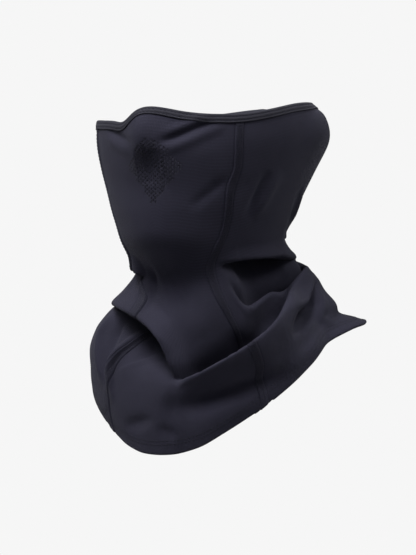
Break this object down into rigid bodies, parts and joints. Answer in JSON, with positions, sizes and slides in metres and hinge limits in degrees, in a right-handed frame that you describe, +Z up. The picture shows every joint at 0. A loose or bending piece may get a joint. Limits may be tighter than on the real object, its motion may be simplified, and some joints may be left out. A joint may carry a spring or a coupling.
{
  "type": "half balaclava",
  "caption": "Stretch fabric half mask with elastic top edge, perforated nose zone and a flared neck bib, shaped for winter sports.",
  "frame": {"origin": "centre of the wearer's neck at its narrowest level inside the tube", "axes": "+Z up along the neck towards the top edge, the face looks along -Y, +X is the wearer's left"},
  "size_m": [0.1988, 0.219, 0.2522],
  "materials": {
    "cloth": "matte brushed knit",
    "binding": "smooth satin knit",
    "thread": "satin polyester thread",
    "elastic": "ribbed elastic tape",
    "label": "satin woven tape"
  },
  "bodies": {
    "garment": {"front_panel": "cloth", "left_back_panel": "cloth", "right_back_panel": "cloth", "top_binding": "binding", "binding_elastic": "elastic", "binding_needle_threads": "thread", "binding_looper_threads": "thread", "left_seam_cover_threads": "thread", "left_seam_looper_threads": "thread", "right_seam_cover_threads": "thread", "right_seam_looper_threads": "thread", "back_seam_cover_threads": "thread", "back_seam_looper_threads": "thread", "hem_needle_threads": "thread", "hem_looper_threads": "thread", "label_bartacks": "thread"},
    "label": {"care_label": "label"}
  },
  "joints": [
    {"name": "label_flip", "type": "hinge", "parent": "garment", "child": "label", "pos_m": [0, 0.08444, 0.1001], "axis": [-1, 0, 0], "range_deg": [0, 150]}
  ]
}
